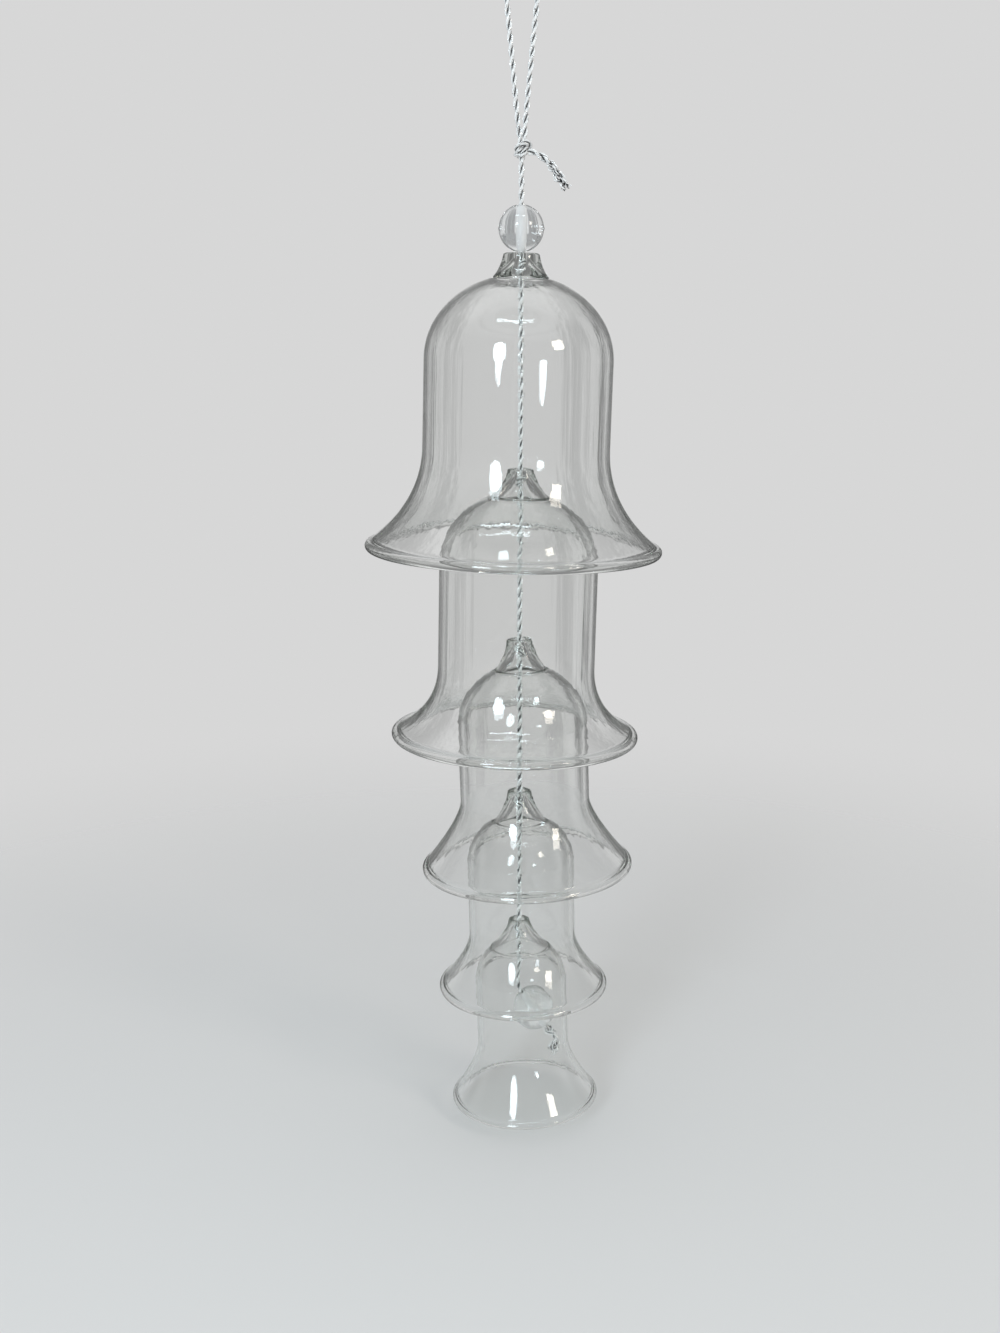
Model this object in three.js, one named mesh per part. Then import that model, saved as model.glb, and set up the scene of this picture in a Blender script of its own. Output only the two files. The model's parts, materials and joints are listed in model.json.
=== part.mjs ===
// Glass bell wind chime: five clear blown-glass bells on one twisted cord, each hung on a knot in its neck
// and reaching down over the next bell, which rings it. A loose bead sits above the first bell, and a bead on
// the cord's end is the last bell's clapper.
// Millimetres, +Z up, seen from -Y. The origin is where the hanging loop bears on its hook.
import * as THREE from 'three';

// Fits
const touchGap = 0.3; // between pieces that touch
const seatGap = 0.65; // straight up from a knot to the edge of the throat that it carries
const beadSeat = 0.5; // under the top bead, so that the first bell can swing below it

// Cord and its knots
const cordDiameter = 1.4;
const knotWidth = 3.5;
const knotHeight = 4.6;

// Hanging loop
const loopDrop = 43; // from the hook to the middle of the loop's knot
const loopWidth = 8; // between the middles of the two strands, under the hook
const loopNarrow = 2.4; // and a loop's width above the knot, where the strands start to spread
const loopKnotWidth = 5;
const loopKnotHeight = 6.4;
const tailReach = 11.4; // how far the loose end stands out from the loop's knot, and hangs below its middle
const tailDrop = 9;

// Beads
const beadDiameter = 12;
const beadPlay = 0.5; // between the cord and a bead's bore

// Clapper: the bead on the cord's end leans to one side, as the stiff cord sets
const clapperDrop = 24.3; // from the last bell's knot to the middle of the bead
const clapperShift = 4.2;
const clapperSlope = 55; // degrees from level to the bead's bore
const clapperTail = 4;

// Bells, from the top down. cord is the length from the knot above to the bell's own knot, neck the height
// of the neck's trumpet, dome the half-axis of the dome's ellipse, flare the height of the flared skirt, knee
// how far down the skirt starts to turn outwards, and lean the degrees that the top tips towards +X.
const wall = 1.3;
const throatLedge = 0.3; // how far a knot's edge reaches under the throat's edge
const throatDepth = 1.6;
const mouthRound = 0.7;
const neckSpread = { across: 0.25, down: 0.6 }; // where a neck's trumpet turns outwards, as shares of it
const firstBell = {
  cord: 28.8, rim: 80, body: 50, height: 78, mouth: 9.6, crease: 15,
  neck: 6.3, dome: 22, flare: 28, knee: 16, lip: 2.8, lean: 1.5,
};
const secondBell = {
  cord: 55.7, rim: 68, body: 43, height: 74, mouth: 7, crease: 16,
  neck: 8.1, dome: 20, flare: 20, knee: 12.5, lip: 2.6, lean: 1.2,
};
const thirdBell = {
  cord: 46, rim: 59, body: 36, height: 66, mouth: 7, crease: 14,
  neck: 8.5, dome: 17.5, flare: 20.5, knee: 6.5, lip: 2.4, lean: -2,
};
const fourthBell = {
  cord: 43.1, rim: 48, body: 30, height: 59, mouth: 6.6, crease: 15,
  neck: 9.1, dome: 13.7, flare: 17, knee: 7, lip: 2.3, lean: -1.2,
};
const fifthBell = {
  cord: 38.1, rim: 42, body: 26, height: 55, mouth: 6, crease: 16.5,
  neck: 8.4, dome: 13.7, flare: 18, knee: 7, lip: 1.6, lean: -2,
};
const bells = [firstBell, secondBell, thirdBell, fourthBell, fifthBell];

// Facets
const bellSides = 28;
const beadSides = 20;
const knotSides = 10;
const cordSides = 8;

// Sizes that follow
const cordRadius = cordDiameter / 2;
const beadRadius = beadDiameter / 2;
const beadBore = cordRadius + beadPlay;
const beadFace = Math.sqrt(beadRadius ** 2 - beadBore ** 2); // from a bead's middle to the edge of its bore
const throatRadius = knotWidth / 2 - throatLedge;
const throatOverKnot = (knotHeight / 2) * Math.sqrt(1 - (throatRadius / (knotWidth / 2)) ** 2);
const knotBelowMouth = throatDepth + throatOverKnot + seatGap;

const group = new THREE.Group();

function glass() {
  return new THREE.MeshStandardMaterial({
    color: 0xdfe9e3,
    roughness: 0.05,
    metalness: 0,
    transparent: true,
    opacity: 0.35,
  });
}

function silver() {
  return new THREE.MeshStandardMaterial({ color: 0xc4c7cb, roughness: 0.35, metalness: 0.9 });
}

function add(parent, name, geometry, material) {
  const mesh = new THREE.Mesh(geometry, material);
  mesh.name = name;
  parent.add(mesh);
  return mesh;
}

function placed(x, z) {
  const place = new THREE.Group();
  place.position.set(x, 0, z);
  group.add(place);
  return place;
}

// A solid of revolution about Z from a profile of [radius, height] points.
function turned(profile, sides) {
  const points = profile.map(([radius, height]) => new THREE.Vector2(radius, height));
  return new THREE.LatheGeometry(points, sides).rotateX(Math.PI / 2);
}

// Points on an ellipse's arc, by angle in degrees from +X towards +Z.
function arc(x, z, halfX, halfZ, from, to, steps) {
  const points = [];
  for (let i = 0; i <= steps; i += 1) {
    const angle = THREE.MathUtils.degToRad(from + ((to - from) * i) / steps);
    points.push([x + halfX * Math.cos(angle), z + halfZ * Math.sin(angle)]);
  }
  return points;
}

// Points on a curve that leaves start towards bend and reaches end from it, without start itself.
function bent(start, bend, end, steps) {
  const curve = new THREE.QuadraticBezierCurve(
    new THREE.Vector2(...start),
    new THREE.Vector2(...bend),
    new THREE.Vector2(...end),
  );
  return curve
    .getPoints(steps)
    .slice(1)
    .map((point) => point.toArray());
}

// A round cord along a path, closed at both ends.
function tube(path, steps) {
  const section = new THREE.Shape();
  for (let i = 0; i < cordSides; i += 1) {
    const angle = (2 * Math.PI * i) / cordSides;
    const point = [cordRadius * Math.cos(angle), cordRadius * Math.sin(angle)];
    if (i === 0) {
      section.moveTo(...point);
    } else {
      section.lineTo(...point);
    }
  }
  return new THREE.ExtrudeGeometry(section, { steps, extrudePath: path });
}

function straightCord(top, bottom) {
  return tube(new THREE.LineCurve3(new THREE.Vector3(0, 0, top), new THREE.Vector3(0, 0, bottom)), 1);
}

// A cord through [x, z] points in the plane that faces the viewer, with a step every three diameters.
function curvedCord(points) {
  const places = points.map(([x, z]) => new THREE.Vector3(x, 0, z));
  const path = new THREE.CatmullRomCurve3(places, false, 'centripetal');
  return tube(path, Math.ceil(path.getLength() / (3 * cordDiameter)));
}

// A knot pulled tight: an egg of cord, taller than wide, so that the cord below can turn about its middle.
function knot(width, height) {
  const steps = 8;
  const outline = arc(0, 0, width / 2, height / 2, -90, 90, steps);
  outline[0][0] = 0;
  outline[steps][0] = 0;
  return turned(outline, knotSides);
}

function bead() {
  const edge = THREE.MathUtils.radToDeg(Math.acos(beadBore / beadRadius));
  const outline = arc(0, 0, beadRadius, beadRadius, -edge, edge, 12);
  return turned([...outline, outline[0]], beadSides);
}

// One side of a bell's skirt: it leaves the body straight down, and runs along slope into the lip's round,
// at offset from the lip's middle.
function skirt(bodyRadius, top, lip, offset, slope) {
  const end = [lip[0] - offset * slope[1], lip[1] + offset * slope[0]];
  const along = (end[0] - bodyRadius) / slope[0];
  return { start: [bodyRadius, top], bend: [bodyRadius, end[1] - along * slope[1]], end };
}

// Where a neck's curve bends between its narrow top and its wide foot.
function trumpetBend(top, foot) {
  return [
    top[0] + neckSpread.across * (foot[0] - top[0]),
    top[1] + neckSpread.down * (foot[1] - top[1]),
  ];
}

// The closed profile of a bell, with the top of its mouth at height 0. It is drawn up the throat, over the
// mouth, down the outside, round the lip and up the inside, then reversed so that its faces point outwards.
function bellProfile(bell) {
  const outer = bell.body / 2;
  const inner = outer - wall;
  const mouthRadius = bell.mouth / 2;
  const round = Math.min(mouthRound, (mouthRadius - throatRadius) / 2);

  const creaseRadius = bell.crease / 2;
  const creaseAngle = THREE.MathUtils.radToDeg(Math.acos(creaseRadius / outer));
  const domeBase = -bell.neck - bell.dome * Math.sin(Math.acos(creaseRadius / outer));
  const innerCrease = creaseRadius - wall / 2;
  const innerDome = bell.dome - wall;
  const innerAngle = THREE.MathUtils.radToDeg(Math.acos(innerCrease / inner));
  const innerTop = domeBase + innerDome * Math.sin(Math.acos(innerCrease / inner));

  const lipRadius = bell.lip / 2;
  const lip = [bell.rim / 2 - lipRadius, -bell.height + lipRadius];
  const skirtTop = -bell.height + bell.flare;
  const reach = [lip[0] - outer, lip[1] - (skirtTop - bell.knee)];
  const slope = reach.map((part) => part / Math.hypot(...reach));
  const lipAngle = THREE.MathUtils.radToDeg(Math.atan2(slope[0], -slope[1]));
  const outside = skirt(outer, skirtTop, lip, lipRadius, slope);
  const inside = skirt(inner, skirtTop, lip, -lipRadius, slope);

  const mouthEdge = [mouthRadius, -round];
  const creaseEdge = [creaseRadius, -bell.neck];
  const throatEdge = [throatRadius, -throatDepth];
  const innerEdge = [innerCrease, innerTop];
  const profile = [
    throatEdge,
    ...arc(throatRadius + round, -round, round, round, 180, 90, 2),
    ...arc(mouthRadius - round, -round, round, round, 90, 0, 2),
    ...bent(mouthEdge, trumpetBend(mouthEdge, creaseEdge), creaseEdge, 3),
    ...arc(0, domeBase, outer, bell.dome, creaseAngle, 0, 5).slice(1),
    outside.start,
    ...bent(outside.start, outside.bend, outside.end, 4),
    ...arc(...lip, lipRadius, lipRadius, lipAngle, lipAngle - 180, 4).slice(1),
    ...bent(inside.end, inside.bend, inside.start, 4),
    ...arc(0, domeBase, inner, innerDome, 0, innerAngle, 5),
    ...bent(innerEdge, trumpetBend(throatEdge, innerEdge), throatEdge, 3),
  ];
  return profile.reverse();
}

// The loop: up one strand, round under the hook and down the other, clear of the top of its knot.
function addLoop() {
  const knotMiddle = -loopDrop;
  const strand = cordRadius + touchGap;
  const foot = knotMiddle + loopKnotHeight / 2 + touchGap;
  const half = loopWidth / 2;
  const top = cordRadius;
  const shoulder = top - half;
  const side = [
    [strand, foot],
    [loopNarrow / 2, foot + loopWidth],
    [(half + loopNarrow / 2) / 2, shoulder - 2 * loopWidth],
  ];
  const bight = arc(0, shoulder, half, half, 0, 180, 8);
  const back = side.map(([x, z]) => [-x, z]).reverse();
  add(group, 'hanging_loop', curvedCord([...side, ...bight, ...back]), silver());
  add(placed(0, knotMiddle), 'loop_knot', knot(loopKnotWidth, loopKnotHeight), silver());

  const tailStart = loopKnotWidth / 2 + touchGap;
  const tailMiddle = (tailStart + tailReach) / 2;
  const tail = [
    [tailStart, knotMiddle],
    [tailMiddle, knotMiddle - tailDrop / 3],
    [tailReach, knotMiddle - tailDrop],
  ];
  add(group, 'loop_tail', curvedCord(tail), silver());
}

// Each bell with the cord above it and the knot that carries it; gives the middle of the last knot.
function addBells() {
  let above = -loopDrop;
  let aboveHeight = loopKnotHeight;
  bells.forEach((bell, index) => {
    const number = index + 1;
    const middle = above - bell.cord;
    const cordTop = above - aboveHeight / 2 - touchGap;
    const cordBottom = middle + knotHeight / 2 + touchGap;
    add(group, `cord_${number}`, straightCord(cordTop, cordBottom), silver());
    add(placed(0, middle), `knot_${number}`, knot(knotWidth, knotHeight), silver());
    const place = placed(0, middle);
    place.rotation.y = THREE.MathUtils.degToRad(bell.lean);
    add(place, `bell_${number}`, turned(bellProfile(bell), bellSides), glass()).position.z = knotBelowMouth;
    above = middle;
    aboveHeight = knotHeight;
  });
  return above;
}

// The bead rests on the inner edge of the first bell's mouth.
function addTopBead() {
  const mouthTop = -loopDrop - bells[0].cord + knotBelowMouth;
  const seatRadius = throatRadius + Math.min(mouthRound, (bells[0].mouth / 2 - throatRadius) / 2);
  const middle = mouthTop + Math.sqrt(beadRadius ** 2 - seatRadius ** 2) + beadSeat;
  add(placed(0, middle), 'top_bead', bead(), glass());
}

// The cord's end: it bends to the slanting bead, runs through its bore and ends in a knot and a loose tip.
function addClapper(lastKnot) {
  const slope = THREE.MathUtils.degToRad(clapperSlope);
  const middle = [clapperShift, lastKnot - clapperDrop];
  const onBore = (distance) => [
    middle[0] + distance * Math.cos(slope),
    middle[1] - distance * Math.sin(slope),
  ];
  const knotPlace = beadFace + touchGap + knotHeight / 2;
  const top = lastKnot - knotHeight / 2 - touchGap;
  const entry = onBore(-beadRadius - cordDiameter);
  const cord = [
    [0, top],
    [0, (top + entry[1]) / 2],
    entry,
    onBore(-beadRadius / 2),
    onBore(beadRadius / 2),
    onBore(knotPlace - knotHeight / 2 - touchGap),
  ];
  add(group, 'clapper_cord', curvedCord(cord), silver());

  const beadMesh = add(placed(...middle), 'clapper_bead', bead(), glass());
  beadMesh.rotation.y = slope - Math.PI / 2;
  const knotMesh = add(placed(...onBore(knotPlace)), 'clapper_knot', knot(knotWidth, knotHeight), silver());
  knotMesh.rotation.y = beadMesh.rotation.y;

  const tailTop = onBore(knotPlace + knotHeight / 2 + touchGap);
  const tail = [
    tailTop,
    [tailTop[0], tailTop[1] - clapperTail / 2],
    [tailTop[0] - clapperTail / 4, tailTop[1] - clapperTail],
  ];
  add(group, 'clapper_tail', curvedCord(tail), silver());
}

addLoop();
addTopBead();
addClapper(addBells());

export default group;
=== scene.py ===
# %% [markdown]
# # A wind chime of glass bells
#
# Five clear glass bells hang one below the next on a single silver cord. The cord is knotted inside the
# neck of each bell, and each bell reaches down over the top of the one below. A clear bead rests on the
# first bell, and a second bead hangs in the last bell as its clapper.
#
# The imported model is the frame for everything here. Its solids say where each piece is and what it moves
# with, so every piece is made in place, in metres, and its object stays at the origin.

import json
import math

import bpy
import numpy as np
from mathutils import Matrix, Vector


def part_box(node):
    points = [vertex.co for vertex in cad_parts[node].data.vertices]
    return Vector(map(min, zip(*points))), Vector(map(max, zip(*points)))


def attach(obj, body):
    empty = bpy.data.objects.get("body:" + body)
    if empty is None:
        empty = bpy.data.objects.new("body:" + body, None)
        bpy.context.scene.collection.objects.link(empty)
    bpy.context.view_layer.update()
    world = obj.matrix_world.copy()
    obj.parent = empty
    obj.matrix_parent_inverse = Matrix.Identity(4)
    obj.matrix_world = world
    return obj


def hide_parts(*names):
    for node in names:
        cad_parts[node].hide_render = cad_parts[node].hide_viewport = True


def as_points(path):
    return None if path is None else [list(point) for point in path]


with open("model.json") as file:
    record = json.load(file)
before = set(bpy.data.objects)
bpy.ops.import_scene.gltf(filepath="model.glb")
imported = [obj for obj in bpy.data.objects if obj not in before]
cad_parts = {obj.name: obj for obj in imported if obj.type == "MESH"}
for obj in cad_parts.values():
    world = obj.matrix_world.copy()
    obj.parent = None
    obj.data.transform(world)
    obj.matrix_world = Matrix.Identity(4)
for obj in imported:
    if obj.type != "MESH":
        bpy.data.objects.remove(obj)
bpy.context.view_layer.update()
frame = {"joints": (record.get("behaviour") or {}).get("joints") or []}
scene = bpy.context.scene
MM = 0.001
joint_at = {joint["name"]: joint.get("pos_m") for joint in frame["joints"]}

# %% [markdown]
# ## The camera
#
# The chime is seen from a little above, so that the rims open into ellipses that grow rounder towards the
# bottom. The focal length comes from how fast they grow: the lens is about 1500 pixels long for a picture
# 1000 pixels wide and 1333 high. Blender measures the lens against the longer side of the picture.

# %% Camera
PHOTO_HEIGHT = 1333
FOCAL_LENGTH = 1500
LOOKING_DOWN = 12.6
EYE = Vector((-5.5, -402, -88)) * MM

camera_data = bpy.data.cameras.new("camera")
camera_data.lens = camera_data.sensor_width * FOCAL_LENGTH / PHOTO_HEIGHT
camera_data.clip_start = 10 * MM
camera = bpy.data.objects.new("camera", camera_data)
camera.location = EYE
camera.rotation_euler = (math.radians(90 - LOOKING_DOWN), 0, 0)
scene.collection.objects.link(camera)
scene.camera = camera
print(f"lens {camera_data.lens:.1f} mm")

# %% [markdown]
# ## Writing node trees as Python
#
# Materials and Geometry Nodes are both trees of nodes joined by wires. Adding each node by hand hides the
# arithmetic, so two small classes do the joining. A `Wire` is the output of a node, and operators on it
# add Math nodes. A `Graph` adds any other node with one method. `grown` runs a finished tree and keeps
# its mesh.


# %% Wires and graphs
class Wire:
    """An output of a node. Arithmetic on it adds Math nodes to its graph."""

    def __init__(self, graph, socket):
        self.graph = graph
        self.socket = socket

    def out(self, name):
        return Wire(self.graph, self.socket.node.outputs[name])

    def math(self, operation, *others):
        return self.graph.math(operation, self, *others)

    def __add__(self, other):
        return self.graph.math("ADD", self, other)

    def __radd__(self, other):
        return self.graph.math("ADD", other, self)

    def __sub__(self, other):
        return self.graph.math("SUBTRACT", self, other)

    def __rsub__(self, other):
        return self.graph.math("SUBTRACT", other, self)

    def __mul__(self, other):
        return self.graph.math("MULTIPLY", self, other)

    def __rmul__(self, other):
        return self.graph.math("MULTIPLY", other, self)

    def __truediv__(self, other):
        return self.graph.math("DIVIDE", self, other)


class Graph:
    """A node tree that is filled through one method, whatever the node."""

    def __init__(self, tree):
        self.tree = tree

    def node(self, kind, settings=None, sockets=None, output=0):
        """Adds a node, sets its settings first, then the values or wires of its sockets."""
        made = self.tree.nodes.new(kind)
        for name, value in (settings or {}).items():
            setattr(made, name, value)
        for name, value in (sockets or {}).items():
            found = [s for s in made.inputs if s.enabled and s.name == name]
            socket = found[0] if found else made.inputs[name]
            if isinstance(value, Wire):
                self.tree.links.new(value.socket, socket)
            else:
                socket.default_value = value
        shown = [s for s in made.outputs if s.enabled and s.name == output]
        if shown:
            return Wire(self, shown[0])
        return Wire(self, made.outputs[output]) if made.outputs else made

    def math(self, operation, *values):
        return self.node("ShaderNodeMath", {"operation": operation}, dict(enumerate(values)))

    def vector(self, operation, sockets, output="Vector"):
        return self.node("ShaderNodeVectorMath", {"operation": operation}, sockets, output)


def new_material(name):
    """An empty material and its graph."""
    material = bpy.data.materials.new(name)
    material.use_nodes = True
    material.node_tree.nodes.clear()
    return material, Graph(material.node_tree)


def smooth_step(graph, value, low, high):
    """0 below low, 1 above high, and a soft change between them."""
    ends = {"Value": value, "From Min": low, "From Max": high}
    return graph.node("ShaderNodeMapRange", {"interpolation_type": "SMOOTHSTEP"}, ends)


def geometry_graph(name, inputs):
    """A Geometry Nodes tree with these named inputs, and the wire of its first input."""
    tree = bpy.data.node_groups.new(name, "GeometryNodeTree")
    tree.interface.new_socket("Geometry", in_out="OUTPUT", socket_type="NodeSocketGeometry")
    for label, kind in inputs.items():
        tree.interface.new_socket(label, in_out="INPUT", socket_type="NodeSocket" + kind)
    graph = Graph(tree)
    return graph, graph.node("NodeGroupInput")


def grown(name, graph, source, values):
    """Runs a geometry tree on a mesh, and keeps the result as a plain mesh at the origin."""
    piece = bpy.data.objects.new(name, source)
    scene.collection.objects.link(piece)
    modifier = piece.modifiers.new("grow", "NODES")
    modifier.node_group = graph.tree
    for item in graph.tree.interface.items_tree:
        if item.in_out == "INPUT" and item.name in values:
            modifier[item.identifier] = values[item.name]
    ready = bpy.context.evaluated_depsgraph_get()
    mesh = bpy.data.meshes.new_from_object(piece.evaluated_get(ready), depsgraph=ready)
    piece.modifiers.clear()
    piece.data = mesh
    mesh.name = name
    bpy.data.meshes.remove(source)
    mesh.calc_loop_triangles()
    print(f"{name}: {len(mesh.loop_triangles)} triangles")
    return piece


# %% [markdown]
# ## The silver of the cord
#
# The cord is spun from thread wound with thin, crumpled foil. Seen from a step away it is bright and
# almost white, with small flecks where a strip of foil lies flat and mirrors the room. So the finish is
# pale and matt, one small cell in seven is smooth metal, and a fine bump follows the fibres. The yarns
# store how far out they lie, and the groove between the two plies gets painted shade: a dark colour
# where hardly any light gets in.

# %% Silver thread
FOIL = (0.98, 0.98, 0.98, 1)
# Painted shade: the dark colour given to the groove between the two plies, where little light gets in.
GROOVE_PAINTED_SHADE = (0.03, 0.03, 0.033, 1)
MATT_CELLS = 0.85
silver_thread, silver = new_material("silver_thread")
place = silver.node("ShaderNodeTexCoord", output="Object")
flecks = silver.node("ShaderNodeTexVoronoi", {}, {"Vector": place, "Scale": 3600.0}, "Color")
fleck = silver.node("ShaderNodeSeparateColor", {}, {"Color": flecks}, "Red")
glint = fleck.math("GREATER_THAN", MATT_CELLS)
fibres = silver.node("ShaderNodeTexNoise", {}, {"Vector": place, "Scale": 9000.0, "Detail": 2.0})
strip = silver.node("ShaderNodeAttribute", {"attribute_name": "strip"}, {}, "Fac")
outwards = silver.node("ShaderNodeAttribute", {"attribute_name": "outwards"}, {}, "Fac")
# Yarns deep between the plies get the painted groove shade; outer yarns get the foil colour, varied a little
# by fleck and strip.
open_to_light = smooth_step(silver, outwards, 0.32, 0.7)
foil_and_painted_shade = silver.node(
    "ShaderNodeMix",
    {"data_type": "RGBA"},
    {"Factor": open_to_light * (0.75 + 0.15 * fleck + 0.1 * strip), "A": GROOVE_PAINTED_SHADE, "B": FOIL},
    "Result",
)
fuzz = silver.node("ShaderNodeBump", {}, {"Strength": 0.4, "Distance": 0.05 * MM, "Height": fibres})
silver_surface = silver.node(
    "ShaderNodeBsdfPrincipled",
    {},
    {
        "Base Color": foil_and_painted_shade,
        "Metallic": 0.1 + 0.7 * glint,
        "Roughness": 0.45 - 0.25 * glint,
        "Normal": fuzz,
    },
)
silver.node("ShaderNodeOutputMaterial", {}, {"Surface": silver_surface})
print("silver thread:", len(silver.tree.nodes), "nodes")

# %% [markdown]
# ## Laying the cord
#
# A rope maker twists yarns into plies and plies into cord. The tree does the same. It copies the path
# once for every yarn, moves each copy out to its ply and then to its place in the ply, turning as it goes
# along, and sweeps a thin round section along every copy. Two numbers ride along with the path: `tight`
# thins the cord inside a knot, and `loose` lets the yarns spread where the end is frayed.

# %% Cord tree
YARN_TURNS = 1.6
FRAYED_OPENING = 0.8
STRIP_SEED = 7
cord_graph, cord_inputs = geometry_graph(
    "twisted_cord",
    {
        "Path": "Geometry",
        "Plies": "Int",
        "Yarns": "Int",
        "Ply Offset": "Float",
        "Yarn Radius": "Float",
        "Lay": "Float",
        "Step": "Float",
        "Spread": "Float",
        "Seed": "Int",
        "Finish": "Material",
    },
)


def stored(graph, name, kind="FLOAT"):
    """A value that the mesh carries under this name."""
    return graph.node("GeometryNodeInputNamedAttribute", {"data_type": kind}, {"Name": name}, "Attribute")


line = cord_graph.node("GeometryNodeMeshToCurve", {}, {"Mesh": cord_inputs.out("Path")})
even = cord_graph.node(
    "GeometryNodeResampleCurve", {"mode": "LENGTH"}, {"Curve": line, "Length": cord_inputs.out("Step")}
)
plies = cord_inputs.out("Plies")
yarns = cord_inputs.out("Yarns")
copies = cord_graph.node(
    "GeometryNodeDuplicateElements", {"domain": "SPLINE"}, {"Geometry": even, "Amount": plies * yarns}
)
copy_number = copies.out("Duplicate Index")
ply = copy_number.math("MODULO", plies)
yarn = (copy_number / plies).math("FLOOR")
along = cord_graph.node("GeometryNodeSplineParameter", output="Length")
turns = along / cord_inputs.out("Lay")
ply_angle = math.tau * (turns + ply / plies)
yarn_angle = math.tau * (yarn / (yarns - 1) - YARN_TURNS * turns)
tight = stored(cord_graph, "tight")
loose = stored(cord_graph, "loose")
ply_out = cord_inputs.out("Ply Offset") * tight
yarn_out = 2 * cord_inputs.out("Yarn Radius") * tight * yarn.math("MINIMUM", 1.0)
sideways = ply_angle.math("COSINE") * ply_out + yarn_angle.math("COSINE") * yarn_out
upwards = ply_angle.math("SINE") * ply_out + yarn_angle.math("SINE") * yarn_out
normal = cord_graph.node("GeometryNodeInputNormal")
tangent = cord_graph.node("GeometryNodeInputTangent")
across = cord_graph.vector("CROSS_PRODUCT", {0: tangent, 1: normal})
opened = 1 + FRAYED_OPENING * loose
offset = cord_graph.vector(
    "ADD",
    {
        0: cord_graph.vector("SCALE", {0: normal, "Scale": sideways * opened}),
        1: cord_graph.vector("SCALE", {0: across, "Scale": upwards * opened}),
    },
)
wander = cord_graph.node(
    "FunctionNodeRandomValue",
    {"data_type": "FLOAT_VECTOR"},
    {"Min": (-1, -1, -1), "Max": (1, 1, 1), "ID": copy_number, "Seed": cord_inputs.out("Seed")},
)
strayed = cord_graph.vector("SCALE", {0: wander, "Scale": loose * loose * cord_inputs.out("Spread")})
strip_shine = cord_graph.node(
    "FunctionNodeRandomValue", {"data_type": "FLOAT"}, {"ID": copy_number, "Seed": STRIP_SEED}, "Value"
)
# How far out each yarn lies, stored so that the silver can paint shade into the groove between the plies.
farthest = (cord_inputs.out("Ply Offset") + 2 * cord_inputs.out("Yarn Radius")) * tight
outwards_of_yarn = (sideways * sideways + upwards * upwards).math("SQRT") / farthest
marked = copies
for label, value in (("strip", strip_shine), ("outwards", outwards_of_yarn)):
    marked = cord_graph.node(
        "GeometryNodeStoreNamedAttribute",
        {"data_type": "FLOAT", "domain": "POINT"},
        {"Geometry": marked, "Name": label, "Value": value},
    )
moved = cord_graph.node(
    "GeometryNodeSetPosition",
    {},
    {"Geometry": marked, "Offset": cord_graph.vector("ADD", {0: offset, 1: strayed})},
)
section = cord_graph.node("GeometryNodeCurvePrimitiveCircle", {}, {"Resolution": 5, "Radius": 1.0})
swept = cord_graph.node(
    "GeometryNodeCurveToMesh",
    {},
    {
        "Curve": moved,
        "Profile Curve": section,
        "Scale": cord_inputs.out("Yarn Radius") * tight,
        "Fill Caps": True,
    },
)
smooth_yarns = cord_graph.node("GeometryNodeSetShadeSmooth", {}, {"Geometry": swept})
plain_yarns = cord_graph.node("GeometryNodeRealizeInstances", {}, {"Geometry": smooth_yarns})
finished_yarns = cord_graph.node(
    "GeometryNodeSetMaterial", {}, {"Geometry": plain_yarns, "Material": cord_inputs.out("Finish")}
)
cord_graph.node("NodeGroupOutput", {}, {"Geometry": finished_yarns})
print("cord tree:", len(cord_graph.tree.nodes), "nodes")

# %% [markdown]
# ## Tying a knot
#
# Every bell sits on an overhand knot. Drawing a tight knot by hand is hard, but a loose one has a simple
# formula, and a loose knot can be pulled tight by the computer as it is by hand. Beads along the line
# keep their spacing, push each other away when two turns touch, and follow the two ends as they are drawn
# apart. The knot is tied once, and copies of it are turned and scaled for all the others.


# %% A tight overhand knot
LOOSE_SPAN = 2.15
LOOSE_SIZE = 0.62
DRAWN_APART = 0.03
DRAWN_IN = 0.97
PASSES = 14
NEIGHBOURS = 1.6
PUSH = 0.6
STIFFNESS = 0.03


def overhand_knot(rounds=600, count=80):
    """The middle line of a cord one unit thick, knotted and pulled tight along Z, from the top down."""
    t = np.linspace(LOOSE_SPAN, -LOOSE_SPAN, count)
    loose_line = LOOSE_SIZE * np.column_stack([t**3 - 3 * t, t**4 - 4 * t**2, 0.55 * t**5 - 5.5 * t])
    upwards = loose_line[0] - loose_line[-1]
    upwards /= np.linalg.norm(upwards)
    side = np.array([0, 1, 0])
    line = loose_line @ np.column_stack([np.cross(side, upwards), side, upwards])
    line -= line.mean(0)
    reach = np.concatenate([[0], np.cumsum(np.linalg.norm(np.diff(line, axis=0), axis=1))])
    evenly = np.linspace(0, reach[-1], count)
    line = np.column_stack([np.interp(evenly, reach, column) for column in line.T])
    spacing = reach[-1] / (count - 1)
    number = np.arange(count)
    apart = np.abs(number[:, None] - number[None, :]) > math.ceil(NEIGHBOURS / spacing)
    for _ in range(rounds):
        line[0, 2] += DRAWN_APART
        line[-1, 2] -= DRAWN_APART
        line[[0, -1], :2] *= DRAWN_IN
        for _ in range(PASSES):
            gaps = line[:, None] - line[None, :]
            distance = np.linalg.norm(gaps, axis=2) + 1e-9
            push = np.where(apart & (distance < 1), (1 - distance) / distance / 2, 0.0)
            line += PUSH * (push[:, :, None] * gaps).sum(1)
            for start in (0, 1):
                pairs = (count - start) // 2
                upper = line[start : start + 2 * pairs : 2]
                lower = line[start + 1 : start + 2 * pairs : 2]
                edge = lower - upper
                pull = edge * (1 - spacing / np.linalg.norm(edge, axis=1, keepdims=True)) / 2
                upper += pull
                lower -= pull
            line[1:-1] += STIFFNESS * (line[:-2] + line[2:] - 2 * line[1:-1])
    return line


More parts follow.
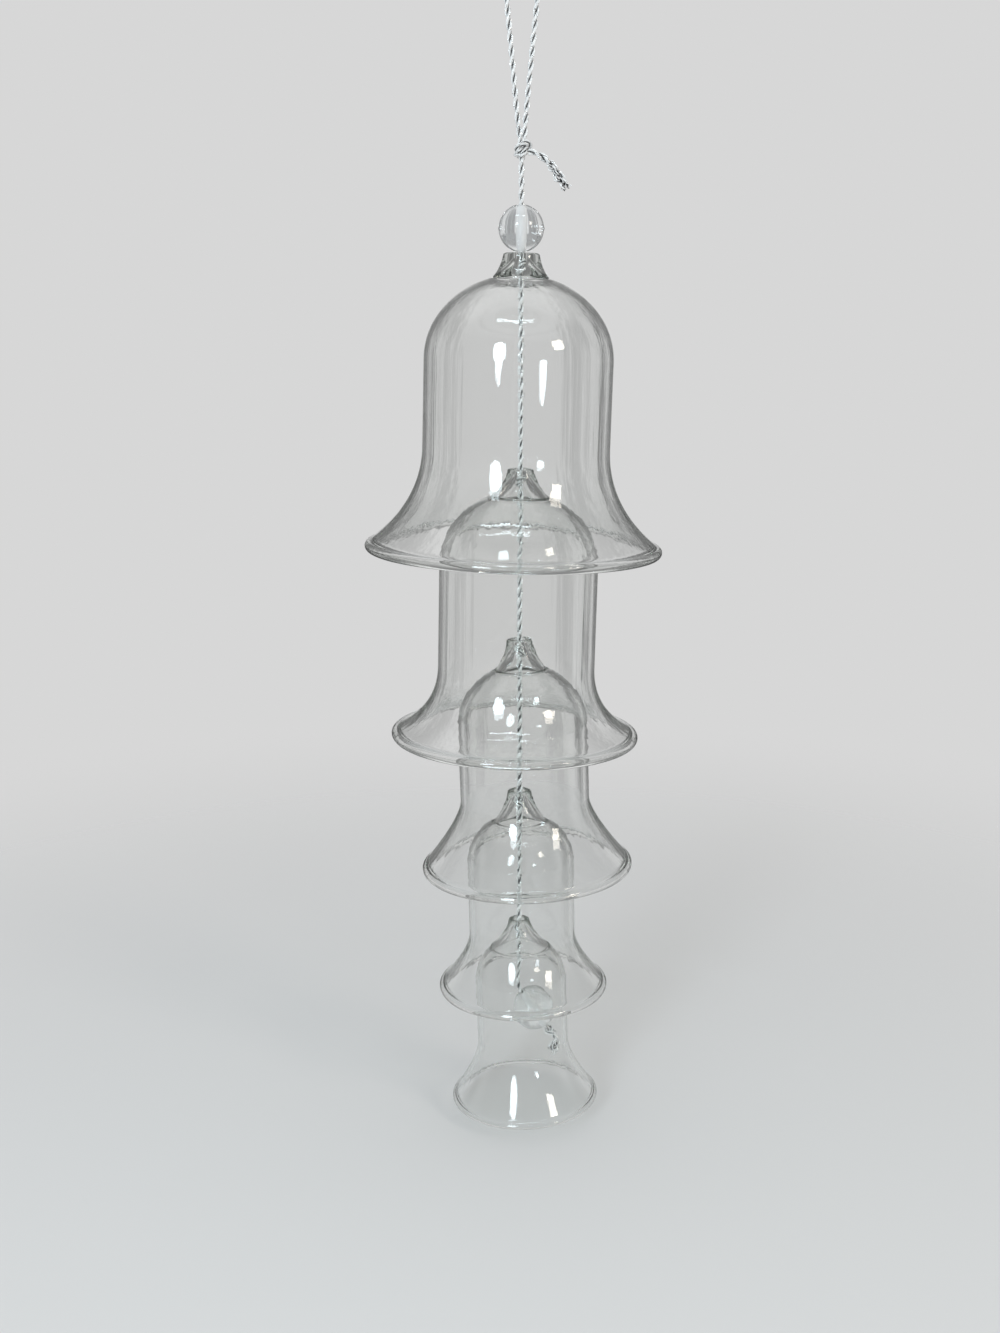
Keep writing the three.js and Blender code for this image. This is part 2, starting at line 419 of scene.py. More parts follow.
KNOT_LINE = overhand_knot()
knot_reach = np.hypot(KNOT_LINE[:, 0], KNOT_LINE[:, 1])
print(f"knot {2 * knot_reach.max() + 1:.2f} cords wide")

# %% [markdown]
# ## The cord, stretch by stretch
#
# The real cord is one length. Here it is cut where it bends when the chime swings: in the middle of each
# knot. Each stretch runs straight down from the knot above and ends in its own knot, which carries a
# bell.

# %% Paths and the cord on them
CORD = dict(diameter=1.5, plies=2, yarns=7, ply_offset=0.38, yarn_radius=0.15, lay=6.4, step=0.3, stray=0.9)
KNOT_CORD = 1.08
KNOT_END = 2.0


def knot_points(thickness, turned):
    """The tied knot for a cord this thick, turned about its own axis by so many degrees."""
    cosine, sine = math.cos(math.radians(turned)), math.sin(math.radians(turned))
    spin = np.array([[cosine, -sine, 0], [sine, cosine, 0], [0, 0, 1]])
    line = KNOT_LINE @ spin.T * thickness
    inside = np.abs(line[:, 2]) <= KNOT_END * thickness
    return line[inside.argmax() : len(line) - inside[::-1].argmax()]


def smooth_line(points, steps=8):
    """A curve through all the points that doesn't overshoot where a long gap meets a short one."""
    points = np.asarray(points, float)
    ends = np.vstack([2 * points[0] - points[1], points, 2 * points[-1] - points[-2]])
    pace = np.sqrt(np.linalg.norm(np.diff(ends, axis=0), axis=1))
    speed = np.diff(ends, axis=0) / pace[:, None]
    found = [points[:1]]
    t = np.linspace(0, 1, steps + 1)[1:, None]
    for k in range(1, len(points)):
        first, second = ends[k : k + 2]
        leaving, arriving = (
            speed[i] + (speed[i + 1] - speed[i]) * pace[i] / (pace[i] + pace[i + 1]) for i in (k - 1, k)
        )
        run = second - first
        start, stop = leaving * pace[k], arriving * pace[k]
        bend = 3 * run - 2 * start - stop
        twist = start + stop - 2 * run
        found.append(first + start * t + bend * t**2 + twist * t**3)
    return np.vstack(found)


def cord_length(line):
    return float(np.linalg.norm(np.diff(line, axis=0), axis=1).sum())


def laid_cord(name, line, tight=1.0, loose=0.0, seed=1):
    """Cord along a line given in millimetres, with how tight and how loose it is at each point."""
    mesh = bpy.data.meshes.new(name + "_line")
    edges = [(i, i + 1) for i in range(len(line) - 1)]
    mesh.from_pydata((line * MM).tolist(), edges, [])
    for label, values in (("tight", tight), ("loose", loose)):
        carried = mesh.attributes.new(label, "FLOAT", "POINT")
        carried.data.foreach_set("value", np.broadcast_to(values, len(line)).astype(np.float32))
    sizes = {
        "Plies": CORD["plies"],
        "Yarns": CORD["yarns"],
        "Ply Offset": CORD["ply_offset"] * MM,
        "Yarn Radius": CORD["yarn_radius"] * MM,
        "Lay": CORD["lay"] * MM,
        "Step": CORD["step"] * MM,
        "Spread": CORD["stray"] * MM,
        "Seed": seed,
        "Finish": silver_thread,
    }
    return grown(name, cord_graph, mesh, sizes)


def declare_cord(line):
    """Works out the line in metres and its list of points, and keeps neither."""
    line[0] * MM
    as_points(line * MM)


# %% Five stretches with their knots
KNOT_TURNS = (10, 340, 170, 150, 180)
INTO_LOOP_KNOT = 1.5
INTO_KNOT = 0.6
loop_knot_height = joint_at["strand_1_swing"][2] / MM
above = loop_knot_height - INTO_LOOP_KNOT
knot_heights = []
for n, turned in enumerate(KNOT_TURNS, start=1):
    height = joint_at[f"bell_{n}_swing"][2] / MM
    knot = knot_points(KNOT_CORD, turned) + [0, 0, height]
    straight = np.linspace([0, 0, above], knot[0], 60)[:-1]
    line = np.vstack([straight, smooth_line(knot, 4)])
    squeeze = np.ones(len(line))
    squeeze[len(straight) :] = KNOT_CORD / CORD["diameter"]
    stretch = laid_cord(f"tied_cord_{n}", line, tight=squeeze, seed=n)
    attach(stretch, f"strand_{n}")
    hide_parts(f"cord_{n}", f"knot_{n}")
    declare_cord(line)
    knot_heights.append(height)
    above = line[-1, 2] + INTO_KNOT
print("knots at", [round(h, 1) for h in knot_heights])

# %% [markdown]
# ## The hanging loop
#
# Above the first bell the cord is doubled into a loop and tied in one overhand knot, so two cords run
# side by side through every turn of that knot. One of them goes on down to the bells, and the other is
# the loose end, cut short and frayed. The loop hangs on whatever carries the chime, so its top is round
# and its two sides lie close together. One line follows all of it: up through the knot, round the loop,
# back through the knot and out to the tip.


# %% Loop, its knot and the frayed end
def moved_aside(line, distance):
    """The line moved sideways, along a direction that turns with the line but never twists round it."""
    ahead = np.gradient(line, axis=0)
    ahead /= np.linalg.norm(ahead, axis=1, keepdims=True)
    side = np.array([1.0, 0, 0])
    moved_line = []
    for point, onward in zip(line, ahead):
        side = side - onward * side.dot(onward)
        side /= np.linalg.norm(side)
        moved_line.append(point + distance * side)
    return np.array(moved_line)


LOOP_TOP = -3.3
BIGHT = 4.0
DOUBLED_KNOT = 1.5
DOUBLED_TURN = 340
DOUBLED_TIGHT = 0.8
HALF_APART = 0.55
STANDING_FOOT = 2.4
RETURNING_FOOT = 1.4
bight_angles = np.radians(np.linspace(10, 170, 9))
bight = [[-BIGHT * math.cos(a), 0, LOOP_TOP + BIGHT * math.sin(a)] for a in bight_angles]
rising = [[-1.2, 0, -33.5], [-2.6, 0, -19.3]]
falling = [[-x, y, z] for x, y, z in reversed(rising)]
tail = [[x, 0, loop_knot_height - drop] for x, drop in ((2.8, 0.4), (7.1, 3), (11.4, 9))]
loop_knot = smooth_line(knot_points(DOUBLED_KNOT, DOUBLED_TURN) + [0, 0, loop_knot_height], 3)
standing = moved_aside(loop_knot, -HALF_APART)
standing = standing[standing[:, 2] > loop_knot_height - STANDING_FOOT][::-1]
returning = moved_aside(loop_knot, HALF_APART)
returning = returning[returning[:, 2] > loop_knot_height - RETURNING_FOOT]
around_loop = smooth_line([standing[-1]] + rising + bight + falling + [returning[0]])[1:-1]
loose_end = smooth_line([returning[-1]] + tail)[1:]
loop_line = np.vstack([standing, around_loop, returning, loose_end])
loop_tight = np.full(len(loop_line), DOUBLED_TIGHT)
loop_tight[len(standing) : len(standing) + len(around_loop)] = 1
loop_tight[-len(loose_end) :] = 1
loop_loose = np.zeros(len(loop_line))
loop_loose[-len(loose_end) :] = np.clip(np.linspace(-0.4, 1, len(loose_end)), 0, 1)
hanging_cord = laid_cord("hanging_cord", loop_line, loop_tight, loop_loose, seed=11)
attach(hanging_cord, "hanger")
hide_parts("hanging_loop", "loop_knot", "loop_tail")
declare_cord(loop_line)
print(f"loop, knot and tail: {cord_length(loop_line):.0f} mm of cord")

# %% [markdown]
# ## The clapper's cord
#
# Below the last knot the cord goes on to the second bead. That bead has come to rest leaning over, so the
# cord bends and passes through its hole at a slant, and a knot with a short frayed tip keeps the bead on.

# %% Cord through the clapper bead
BEAD = 12
BEAD_MIDDLE = np.array([4.2, 0, -279.0])
BEAD_SLOPE = math.radians(55)
BORE_AXIS = np.array([math.cos(BEAD_SLOPE), 0, -math.sin(BEAD_SLOPE)])
BEND = 7.4
END_KNOT = 8.48
END_KNOT_TURN = 70
BELOW_END_KNOT = 3.2


def on_bore(distance):
    """A point on the axis of the clapper bead's hole, so far past the bead's middle."""
    return BEAD_MIDDLE + distance * BORE_AXIS


entry = on_bore(-BEND)
bore_frame = np.column_stack([[0, 1, 0], np.cross(-BORE_AXIS, [0, 1, 0]), -BORE_AXIS])
end_knot = knot_points(KNOT_CORD, END_KNOT_TURN) @ bore_frame.T + on_bore(END_KNOT)
hanging_down = [[0, 0, above], [0, 0, above - 3], [0, 0, (above + entry[2]) / 2]]
approach = hanging_down + [entry, on_bore(-BEAD / 4), on_bore(BEAD / 4)]
tip = [on_bore(END_KNOT + BELOW_END_KNOT), [10.56, 0, -290.08], [9.56, 0, -292.08]]
lead = smooth_line(approach + [end_knot[0]])
through_knot = smooth_line(end_knot, 4)[1:]
frayed = smooth_line([end_knot[-1]] + tip)[1:]
clapper_line = np.vstack([lead, through_knot, frayed])
clapper_tight = np.ones(len(clapper_line))
clapper_tight[len(lead) : len(lead) + len(through_knot)] = KNOT_CORD / CORD["diameter"]
clapper_loose = np.zeros(len(clapper_line))
clapper_loose[-len(frayed) :] = np.linspace(0.2, 1, len(frayed))
clapper_cord = laid_cord("tied_clapper_cord", clapper_line, clapper_tight, clapper_loose, seed=21)
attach(clapper_cord, "clapper")
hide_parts("clapper_cord", "clapper_knot", "clapper_tail")
declare_cord(clapper_line)

# %% [markdown]
# ## Clear glass
#
# Each bell is blown from clear tube. The glass is almost colourless, but a long way through it takes some
# light away, so lips and edges are darker than walls. Apart from that it shows by the bending of what
# lies behind, by reflections, and by faint draw lines that run up the tube. Those lines are a bump from
# noise that is stretched along the height. Light has to reach the cord inside, and a path tracer rarely
# finds its way from a cord through glass to a lamp. So for shadow and diffuse rays the glass is simply a
# clear sheet with a slight tint, which is darker where it is met edge on.


# %% Glass and bead finishes
EDGE_SHADE = (0.35, 0.36, 0.355, 1)


def clear_finish(name, refraction, tint, body, streaks, smear, shade, clearness=1.0):
    """Clear glass or plastic. Streaks sets the bump, smear the change of polish, body what it absorbs."""
    material, graph = new_material(name)
    place = graph.node("ShaderNodeTexCoord", output="Object")
    drawn = graph.node("ShaderNodeMapping", {}, {"Vector": place, "Scale": streaks["stretch"]})
    lines = graph.node(
        "ShaderNodeTexNoise", {}, {"Vector": drawn, "Scale": streaks["scale"], "Detail": 3.0}
    )
    bump = graph.node(
        "ShaderNodeBump",
        {},
        {"Strength": streaks["strength"], "Distance": streaks["depth"] * MM, "Height": lines},
    )
    patches = graph.node("ShaderNodeTexNoise", {}, {"Vector": place, "Scale": 90.0, "Detail": 4.0})
    polish = (patches - 0.5).math("MAXIMUM", 0.0) * smear
    surface = graph.node(
        "ShaderNodeBsdfPrincipled",
        {},
        {
            "Base Color": tint,
            "Roughness": polish,
            "IOR": refraction,
            "Transmission Weight": clearness,
            "Normal": bump,
        },
    )
    light = graph.node("ShaderNodeLightPath")
    facing = graph.node("ShaderNodeLayerWeight", {}, {"Blend": 0.5}, "Facing")
    open_glass = graph.node("ShaderNodeBsdfTransparent", {}, {"Color": shade})
    edge_glass = graph.node("ShaderNodeBsdfTransparent", {}, {"Color": EDGE_SHADE})
    edge_on = facing * facing * facing
    clear = graph.node("ShaderNodeMixShader", {}, {0: edge_on, 1: open_glass, 2: edge_glass})
    passing = light.out("Is Shadow Ray").math("MAXIMUM", light.out("Is Diffuse Ray"))
    both = graph.node("ShaderNodeMixShader", {}, {0: passing, 1: surface, 2: clear})
    absorbing = graph.node(
        "ShaderNodeVolumeAbsorption", {}, {"Color": body["colour"], "Density": body["density"]}
    )
    graph.node("ShaderNodeOutputMaterial", {}, {"Surface": both, "Volume": absorbing})
    return material


bell_glass = clear_finish(
    "bell_glass",
    refraction=1.47,
    tint=(1, 1, 1, 1),
    body=dict(colour=(0.60, 0.64, 0.60, 1), density=80.0),
    streaks=dict(stretch=(1, 1, 0.02), scale=420.0, strength=0.2, depth=0.2),
    smear=0.06,
    shade=(0.95, 0.955, 0.952, 1),
)
bead_plastic = clear_finish(
    "bead_plastic",
    refraction=1.49,
    tint=(1, 1, 1, 1),
    body=dict(colour=(0.62, 0.65, 0.66, 1), density=14.0),
    streaks=dict(stretch=(1, 1, 1), scale=420.0, strength=0.3, depth=0.2),
    smear=0.3,
    shade=(0.92, 0.92, 0.92, 1),
    clearness=0.88,
)
bead_bore = clear_finish(
    "bead_bore",
    refraction=1.49,
    tint=(0.97, 0.97, 0.97, 1),
    body=dict(colour=(0.62, 0.65, 0.66, 1), density=14.0),
    streaks=dict(stretch=(1, 1, 1), scale=1500.0, strength=0.4, depth=0.05),
    smear=1.2,
    shade=(0.9, 0.9, 0.9, 1),
    clearness=0.4,
)
scuffed_plastic = clear_finish(
    "scuffed_plastic",
    refraction=1.49,
    tint=(1, 1, 1, 1),
    body=dict(colour=(0.62, 0.65, 0.66, 1), density=14.0),
    streaks=dict(stretch=(1, 1, 1), scale=450.0, strength=0.9, depth=0.3),
    smear=0.6,
    shade=(0.92, 0.92, 0.92, 1),
    clearness=0.78,
)
for clear_material in (bell_glass, bead_plastic, scuffed_plastic, bead_bore):
    print(clear_material.name, len(clear_material.node_tree.nodes), "nodes")

# %% [markdown]
# ## Turning the bells
#
# A bell is round, so one outline says all about it. The tree bends a flat grid into the bell: one side of
# the grid goes round, the other follows the outline from the lip up the outside, into the mouth and back
# down the inside. A slow wave a few hundredths of a millimetre high keeps the glass from looking
# machined. Faces near the axis are marked, because a bead's hole has a finish of its own.

# %% Turning tree
turning, turning_inputs = geometry_graph(
    "turned_piece",
    {
        "Outline": "Geometry",
        "Points": "Int",
        "Sides": "Int",
        "Wave Height": "Float",
        "Waves": "Float",
        "Turn": "Vector",
        "Place": "Vector",
        "Bore Radius": "Float",
        "Finish": "Material",
        "Bore Finish": "Material",
    },
)
sides = turning_inputs.out("Sides")
points = turning_inputs.out("Points")
grid = turning.node(
    "GeometryNodeMeshGrid",
    {},
    {"Size X": 1.0, "Size Y": 1.0, "Vertices X": sides + 1, "Vertices Y": points + 1},
)
grid_place = turning.node("ShaderNodeSeparateXYZ", {}, {"Vector": grid.out("UV Map")}, "X")
angle = math.tau * grid_place
row = (grid_place.out("Y") * points).math("ROUND").math("MODULO", points)
position = turning.node("GeometryNodeInputPosition")
outline_point = turning.node(
    "GeometryNodeSampleIndex",
    {"data_type": "FLOAT_VECTOR", "domain": "POINT"},
    {"Geometry": turning_inputs.out("Outline"), "Value": position, "Index": row},
)
outline_xyz = turning.node("ShaderNodeSeparateXYZ", {}, {"Vector": outline_point}, "X")
outward = turning.node(
    "ShaderNodeCombineXYZ", {}, {"X": angle.math("COSINE"), "Y": angle.math("SINE"), "Z": 0.0}
)
level = turning.node("ShaderNodeCombineXYZ", {}, {"X": 0.0, "Y": 0.0, "Z": outline_xyz.out("Z")})
turned = turning.vector(
    "ADD", {0: turning.vector("SCALE", {0: outward, "Scale": outline_xyz}), 1: level}
)
noise = turning.node(
    "ShaderNodeTexNoise", {}, {"Vector": turned, "Scale": turning_inputs.out("Waves"), "Detail": 1.0}
)
wave = (noise - 0.5) * turning_inputs.out("Wave Height")
wavy = turning.vector("ADD", {0: turned, 1: turning.vector("SCALE", {0: outward, "Scale": wave})})
bent = turning.node("GeometryNodeSetPosition", {}, {"Geometry": grid, "Position": wavy})
closed = turning.node("GeometryNodeMergeByDistance", {}, {"Geometry": bent, "Distance": 0.001 * MM})
rounded = turning.node("GeometryNodeSetShadeSmooth", {}, {"Geometry": closed})
where = turning.node("ShaderNodeSeparateXYZ", {}, {"Vector": position}, "X")
from_axis = (where * where + where.out("Y") * where.out("Y")).math("SQRT")
near_axis = from_axis.math("LESS_THAN", turning_inputs.out("Bore Radius"))
with_bore = turning.node(
    "GeometryNodeStoreNamedAttribute",
    {"data_type": "BOOLEAN", "domain": "FACE"},
    {"Geometry": rounded, "Name": "bore", "Value": near_axis},
)
place_and_turn = {"Translation": turning_inputs.out("Place"), "Rotation": turning_inputs.out("Turn")}
placed = turning.node("GeometryNodeTransform", {}, {"Geometry": with_bore, **place_and_turn})
whole = turning.node("GeometryNodeRealizeInstances", {}, {"Geometry": placed})
finished = turning.node(
    "GeometryNodeSetMaterial", {}, {"Geometry": whole, "Material": turning_inputs.out("Finish")}
)
bored = turning.node(
    "GeometryNodeSetMaterial",
    {},
    {
        "Geometry": finished,
        "Selection": stored(turning, "bore", "BOOLEAN"),
        "Material": turning_inputs.out("Bore Finish"),
    },
)
turning.node("NodeGroupOutput", {}, {"Geometry": bored})
print("turning tree:", len(turning.tree.nodes), "nodes")


# %% Turned pieces from an outline
def turned_piece(name, outline, values):
    """Turns a closed outline of (radius, height) points in millimetres about its axis."""
    mesh = bpy.data.meshes.new(name + "_outline")
    apart = np.linalg.norm(outline - np.roll(outline, 1, axis=0), axis=1) > 1e-4
    kept = outline[apart]
    mesh.from_pydata([(x * MM, 0, z * MM) for x, z in kept], [], [])
    return grown(name, turning, mesh, dict(values, Points=len(kept)))


def arc(middle, radii, start, stop, steps):
    """Part of an ellipse from one angle to another, in degrees."""
    angles = np.radians(np.linspace(start, stop, steps + 1))
    return np.column_stack([middle[0] + radii[0] * np.cos(angles), middle[1] + radii[1] * np.sin(angles)])


def bow(start, pull, stop, steps):
    """A curve from start to stop that leans towards the point pull."""
    t = np.linspace(0, 1, steps + 1)[:, None]
    return (1 - t) ** 2 * np.array(start) + 2 * t * (1 - t) * np.array(pull) + t**2 * np.array(stop)


# %% [markdown]
# ## The outline of a bell
#
# From the top down, a bell has a small round mouth, a neck that widens like a trumpet to a crease with a
# fine groove, a dome, a straight body and a skirt that flares to a thick lip, rolled so that it stands
# out from the wall on both sides. The inside follows a wall's thickness in, and narrows at the top to a
# throat that the knot can't pass. The five bells differ only in their sizes.

# %% Bell sizes
WALL = 1.3
THROAT_RADIUS = 1.45
THROAT_DEPTH = 1.6
MOUTH_ROUND = 0.7
KNOT_BELOW_MOUTH = 3.538
GROOVE = 0.3
LIP_SHOULDER = 0.75
TRUMPET_OUT = 0.25
TRUMPET_DOWN = 0.6
BELLS = (
    dict(rim=80, body=50, height=78, mouth=9.6, crease=15, neck=6.3, dome=22, flare=28, knee=16, lip=2.8),
    dict(rim=68, body=43, height=74, mouth=7, crease=16, neck=8.1, dome=20, flare=20, knee=12.5, lip=2.6),
    dict(rim=59, body=36, height=66, mouth=7, crease=14, neck=8.5, dome=17.5, flare=20.5, knee=6.5, lip=2.4),
    dict(rim=48, body=30, height=59, mouth=6.6, crease=15, neck=9.1, dome=13.7, flare=17, knee=7, lip=2.3),
    dict(rim=42, body=26, height=55, mouth=6, crease=16.5, neck=8.4, dome=13.7, flare=18, knee=7, lip=1.6),
)
LEANS = (1.5, 1.2, -2, -1.2, -2)


def trumpet(top, foot):
    """The point that a neck's curve leans towards, between its top and its foot."""
    return [top[0] + TRUMPET_OUT * (foot[0] - top[0]), top[1] + TRUMPET_DOWN * (foot[1] - top[1])]


def seam_groove(before, corner, after):
    """A shallow round groove at a corner of the outside, cut into the glass below it."""
    start, stop = (math.degrees(math.atan2(*(point - corner)[::-1])) for point in (before, after))
    return arc(corner, (GROOVE, GROOVE), start, stop if stop > start else stop + 360, 8)


def bell_outline(rim, body, height, mouth, crease, neck, dome, flare, knee, lip):
    """The bell's closed outline, up the outside and down the inside, the top of the mouth at height 0."""
    outer = body / 2
    inner = outer - WALL
    round_off = min(MOUTH_ROUND, (mouth / 2 - THROAT_RADIUS) / 2)
    crease_radius = crease / 2
    crease_angle = math.acos(crease_radius / outer)
    dome_base = -neck - dome * math.sin(crease_angle)
    inner_crease = crease_radius - WALL / 2
    inner_angle = math.acos(inner_crease / inner)
    inner_top = dome_base + (dome - WALL) * math.sin(inner_angle)
    lip_radius = lip / 2
    lip_middle = np.array([rim / 2 - lip_radius, lip_radius - height])
    skirt_top = flare - height
    slope = lip_middle - [outer, skirt_top - knee]
    slope = slope / np.linalg.norm(slope)
    shoulder = math.acos(LIP_SHOULDER)
    above_lip = lip_middle - lip_radius * math.sin(shoulder) * slope

    def skirt(radius, side):
        """The flare from the body's foot to the lip, on the outside (side 1) or the inside (side -1)."""
        end = above_lip + side * LIP_SHOULDER * lip_radius * np.array([-slope[1], slope[0]])
        pull = [radius, end[1] - (end[0] - radius) / slope[0] * slope[1]]
        return bow([radius, skirt_top], pull, end, 22)

    lip_start = math.degrees(math.atan2(slope[0], -slope[1]) + shoulder)
    lip_stop = lip_start - 180 - 2 * math.degrees(shoulder)
    throat_edge = [THROAT_RADIUS, -THROAT_DEPTH]
    mouth_edge = [mouth / 2, -round_off]
    neck_foot = [crease_radius, -neck]
    inner_foot = [inner_crease, inner_top]
    neck_side = bow(mouth_edge, trumpet(mouth_edge, neck_foot), neck_foot, 14)
    dome_side = arc([0, dome_base], (outer, dome), math.degrees(crease_angle), 0, 26)
    downwards = [
        [throat_edge],
        arc([THROAT_RADIUS + round_off, -round_off], (round_off, round_off), 180, 90, 6),
        arc([mouth / 2 - round_off, -round_off], (round_off, round_off), 90, 0, 6),
        neck_side[:-1],
        seam_groove(neck_side[-2], neck_side[-1], dome_side[1]),
        dome_side[1:],
        skirt(outer, 1)[:-1],
        arc(lip_middle, (lip_radius, lip_radius), lip_start, lip_stop, 20),
        skirt(inner, -1)[-2::-1],
        arc([0, dome_base], (inner, dome - WALL), 0, math.degrees(inner_angle), 26),
        bow(inner_foot, trumpet(throat_edge, inner_foot), throat_edge, 14),
    ]
    return np.vstack(downwards)[::-1]


# %% Five bells
ORDER = ("first", "second", "third", "fourth", "fifth")
for n, (sizes, lean, knot_height) in enumerate(zip(BELLS, LEANS, knot_heights), start=1):
    outline = bell_outline(**sizes) + [0, KNOT_BELOW_MOUTH]
    values = {
        "Sides": 144,
        "Wave Height": 0.16 * MM,
        "Waves": 45.0,
        "Turn": (0, math.radians(lean), 0),
        "Place": (0, 0, knot_height * MM),
        "Bore Radius": 0.0,
        "Finish": bell_glass,
        "Bore Finish": bell_glass,
    }
    bell = turned_piece(f"glass_bell_{n}", outline, values)
    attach(bell, f"{ORDER[n - 1]}_bell")
    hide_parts(f"bell_{n}")

# %% [markdown]
# ## The two beads
#
# The beads are moulded clear plastic balls. A thin seam runs round the middle where the two halves of the
# mould met, and the drilled hole is rough, so it shows as a milky rod inside the bead. The clapper's bead
# is scuffed all over from striking the glass, which makes it bumpier and less clear than the one on top.

# %% Beads
BORE = 0.95
ROUGH_EDGE = 0.2
SEAM = dict(height=0.14, width=0.35)
SINK = dict(width=0.45, depth=0.6, edge=0.05)


def bead_outline():
    """A ball with a countersunk hole and a low seam round its middle."""
    radius = BEAD / 2
    opening = math.degrees(math.acos((BORE + SINK["width"]) / radius))
    latitude = np.unique(np.concatenate([np.linspace(-opening, opening, 61), np.linspace(-6, 6, 25)]))
    height = radius * np.sin(np.radians(latitude))
    ridge = SEAM["height"] * np.exp(-((height / SEAM["width"]) ** 2))
    outside = np.column_stack([(radius - SEAM["height"] + ridge) * np.cos(np.radians(latitude)), height])
    top = outside[-1, 1]
    foot = top - SINK["depth"]
    sink = bow(outside[-1], [BORE + SINK["edge"], top - SINK["edge"]], [BORE, foot], 5)
    hole = np.column_stack([np.full(13, BORE), np.linspace(foot, -foot, 13)])
    return np.vstack([outside, sink, hole, sink[::-1] * [1, -1]])


bead_values = {
    "Sides": 96,
    "Wave Height": 0.05 * MM,
    "Waves": 150.0,
    "Bore Radius": (BORE + ROUGH_EDGE) * MM,
    "Bore Finish": bead_bore,
}
bead_low, bead_high = (np.array(corner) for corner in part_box("top_bead"))
upright = dict(Turn=(0, 0, 0), Place=tuple((bead_low + bead_high) / 2), Finish=bead_plastic)
slanted = dict(
    Turn=(0, math.pi / 2 + BEAD_SLOPE, 0), Place=tuple(BEAD_MIDDLE * MM), Finish=scuffed_plastic
)
for name, body, node, own_values in (
    ("clear_bead_top", "bead_on_top", "top_bead", upright),
    ("clear_bead_clapper", "clapper", "clapper_bead", slanted),
):
    bead = turned_piece(name, bead_outline(), dict(bead_values, **own_values))
    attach(bead, body)
    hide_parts(node)

# %% [markdown]
# ## Floor, backdrop and lamps
#
# Clear glass shows only what is around it. Against an even white it would vanish. So the glass sees pale
# panels with darker gaps all round, a dark band above them and a pale ceiling, and those are what its
# edges bend into view. What it mirrors from the camera's side is a dark room with a few lamps. The camera
# itself sees an even, pale backdrop. The floor lies just below the last bell and fades out before its rim
# is seen.

# %% Floor
FLOOR_HEIGHT = -310.3
FLOOR_RADIUS = 0.48
FADE_START = 0.08
FADE_END = 0.45
floor_material, floor_graph = new_material("pale_floor")
floor_place = floor_graph.node("ShaderNodeTexCoord", output="Object")
floor_reach = floor_graph.vector("LENGTH", {0: floor_place}, "Value")
fade = smooth_step(floor_graph, floor_reach, FADE_START, FADE_END)
floor_paint = floor_graph.node(
    "ShaderNodeBsdfPrincipled", {}, {"Base Color": (0.76, 0.76, 0.76, 1), "Roughness": 0.7}
)
gone = floor_graph.node("ShaderNodeBsdfTransparent")
floor_mix = floor_graph.node("ShaderNodeMixShader", {}, {0: fade, 1: floor_paint, 2: gone})
floor_graph.node("ShaderNodeOutputMaterial", {}, {"Surface": floor_mix})
floor_mesh = bpy.data.meshes.new("floor")
edge_angles = np.linspace(0, math.tau, 96, endpoint=False)
floor_edge = [(FLOOR_RADIUS * math.cos(a), FLOOR_RADIUS * math.sin(a), 0) for a in edge_angles]
floor_mesh.from_pydata(floor_edge, [], [list(range(len(floor_edge)))])
floor_mesh.materials.append(floor_material)
floor = bpy.data.objects.new("floor", floor_mesh)
floor.location.z = FLOOR_HEIGHT * MM
scene.collection.objects.link(floor)
print(f"floor at {FLOOR_HEIGHT} mm")

# %% World
PALE = 0.68
GAP = 0.2
BAND = 0.24
CEILING = 0.95
ROOM = 0.14
FILL = 0.55
PANELS = 8
SLATS = 37
world = bpy.data.worlds.new("studio")
scene.world = world
world.use_nodes = True
world.node_tree.nodes.clear()
sky = Graph(world.node_tree)
direction = sky.node("ShaderNodeSeparateXYZ", {}, {"Vector": sky.node("ShaderNodeTexCoord")}, "X")
around = direction.math("ARCTAN2", direction.out("Y"))
broad = (PANELS * around).math("COSINE")
narrow = (SLATS * around).math("COSINE")
panels = (0.5 + 0.9 * broad + 0.5 * narrow).math("MINIMUM", 1.0).math("MAXIMUM", 0.0)
height = direction.out("Z")
walls = GAP + (PALE - GAP) * panels
seen_in_glass = walls + (BAND - walls) * smooth_step(sky, height, 0.15, 0.4)
seen_in_glass = seen_in_glass + (CEILING - seen_in_glass) * smooth_step(sky, height, 0.55, 0.85)
room = smooth_step(sky, -1 * direction.out("Y"), -0.1, 0.25)
path = sky.node("ShaderNodeLightPath")
mirrored = path.out("Glossy Depth").math("MINIMUM", 1.0)
backdrop = seen_in_glass + (ROOM - seen_in_glass) * room * mirrored
through_glass = path.out("Is Glossy Ray").math("MAXIMUM", path.out("Is Transmission Ray"))
brightness = FILL + (backdrop - FILL) * through_glass
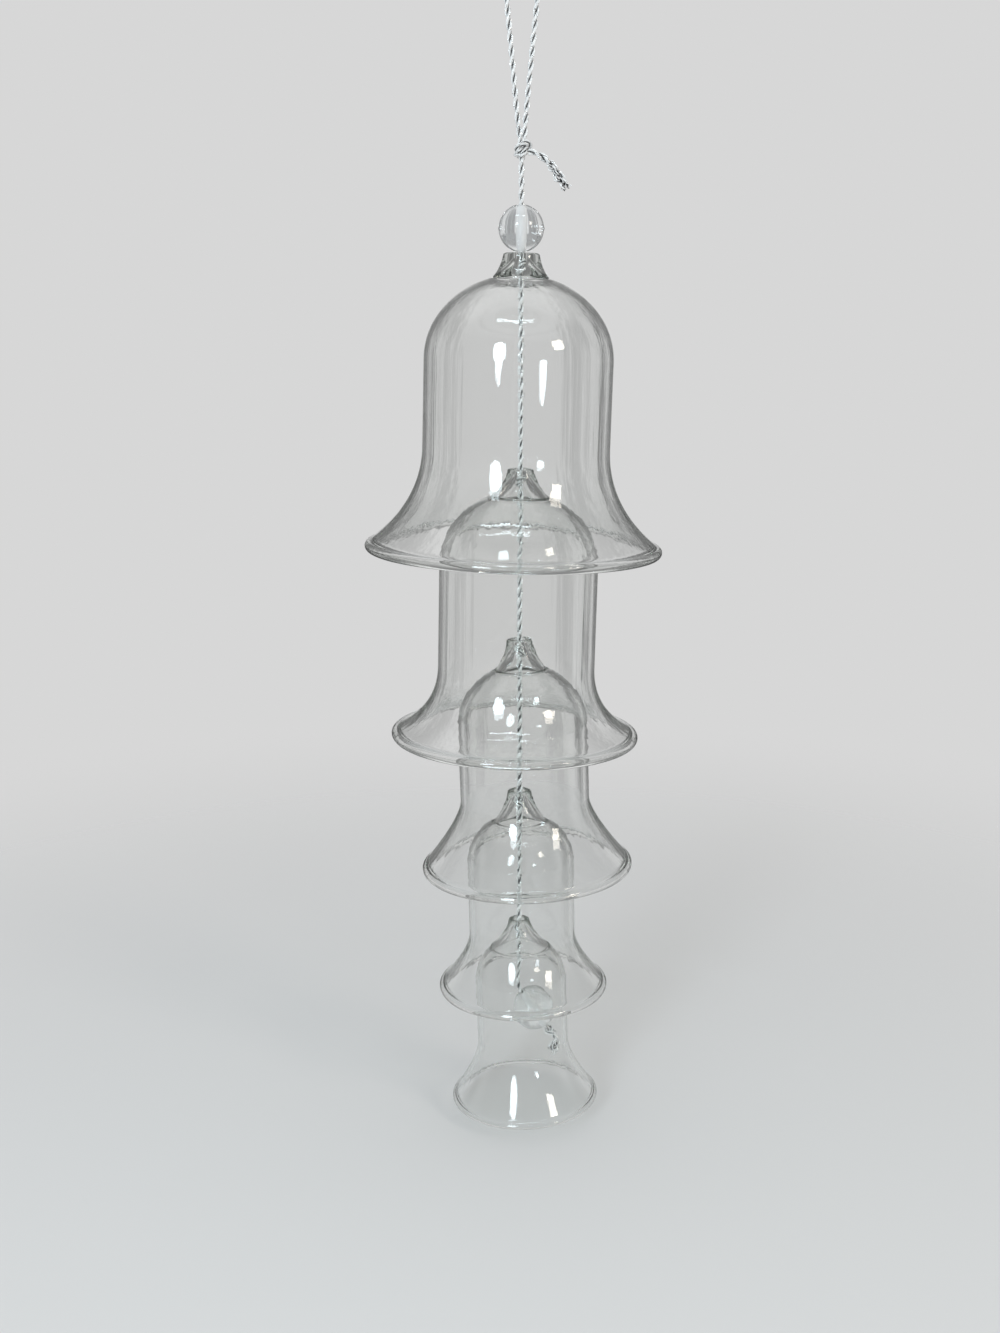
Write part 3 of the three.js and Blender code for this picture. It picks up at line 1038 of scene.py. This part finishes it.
brightness = brightness + (PALE - brightness) * path.out("Is Camera Ray")
studio = sky.node("ShaderNodeBackground", {}, {"Color": (1, 1, 1, 1), "Strength": brightness})
sky.node("ShaderNodeOutputWorld", {}, {"Surface": studio})
print("world:", len(world.node_tree.nodes), "nodes")


# %% Lamps
def softbox(name, azimuth, distance, low, high, width, colour, radiance, shape="RECTANGLE"):
    """An upright lamp that faces the chime. Azimuth 0 is behind the camera, positive to its right."""
    lamp = bpy.data.lights.new(name, "AREA")
    lamp.shape = shape
    lamp.size = width
    lamp.size_y = high - low
    lamp.color = colour
    lamp.energy = radiance * math.pi * lamp.size * lamp.size_y
    holder = bpy.data.objects.new(name, lamp)
    angle = math.radians(azimuth)
    holder.location = (distance * math.sin(angle), -distance * math.cos(angle), (low + high) / 2)
    holder.rotation_euler = (math.pi / 2, 0, angle)
    holder.visible_camera = False
    scene.collection.objects.link(holder)
    print(f"{name}: {lamp.energy:.1f} W")
    return holder


COOL = (0.82, 0.94, 1.0)
WARM = (1.0, 0.93, 0.83)
softbox("left_window", -24, 0.95, -0.1, 0.42, 0.24, COOL, 14, "ELLIPSE")
softbox("right_window", 29, 0.95, -0.14, -0.04, 0.13, COOL, 14, "ELLIPSE")
softbox("warm_lamp", 50, 0.95, 0.18, 0.42, 0.2, WARM, 16)
for name, azimuth, distance, height in (
    ("ceiling_tube_left", -25, 0.4, 0.6),
    ("ceiling_tube_right", 10, 0.45, 0.7),
):
    tube = softbox(name, azimuth, distance, height, height + 0.03, 0.3, COOL, 14)
    tube.rotation_euler.x = math.radians(30)

# %% [markdown]
# ## Nested glass
#
# A ray that crosses two bells meets eight glass surfaces, and more where it is reflected on the way.
# Light that is led round inside a lip is reflected again and again. Blender stops after twelve bounces by
# default and would leave black patches, so the limits are raised for both.

# %% Bounces and view
scene.cycles.max_bounces = 40
scene.cycles.transmission_bounces = 36
scene.cycles.glossy_bounces = 36
scene.cycles.transparent_max_bounces = 32
scene.view_settings.view_transform = "Standard"
print("bounces:", scene.cycles.max_bounces)
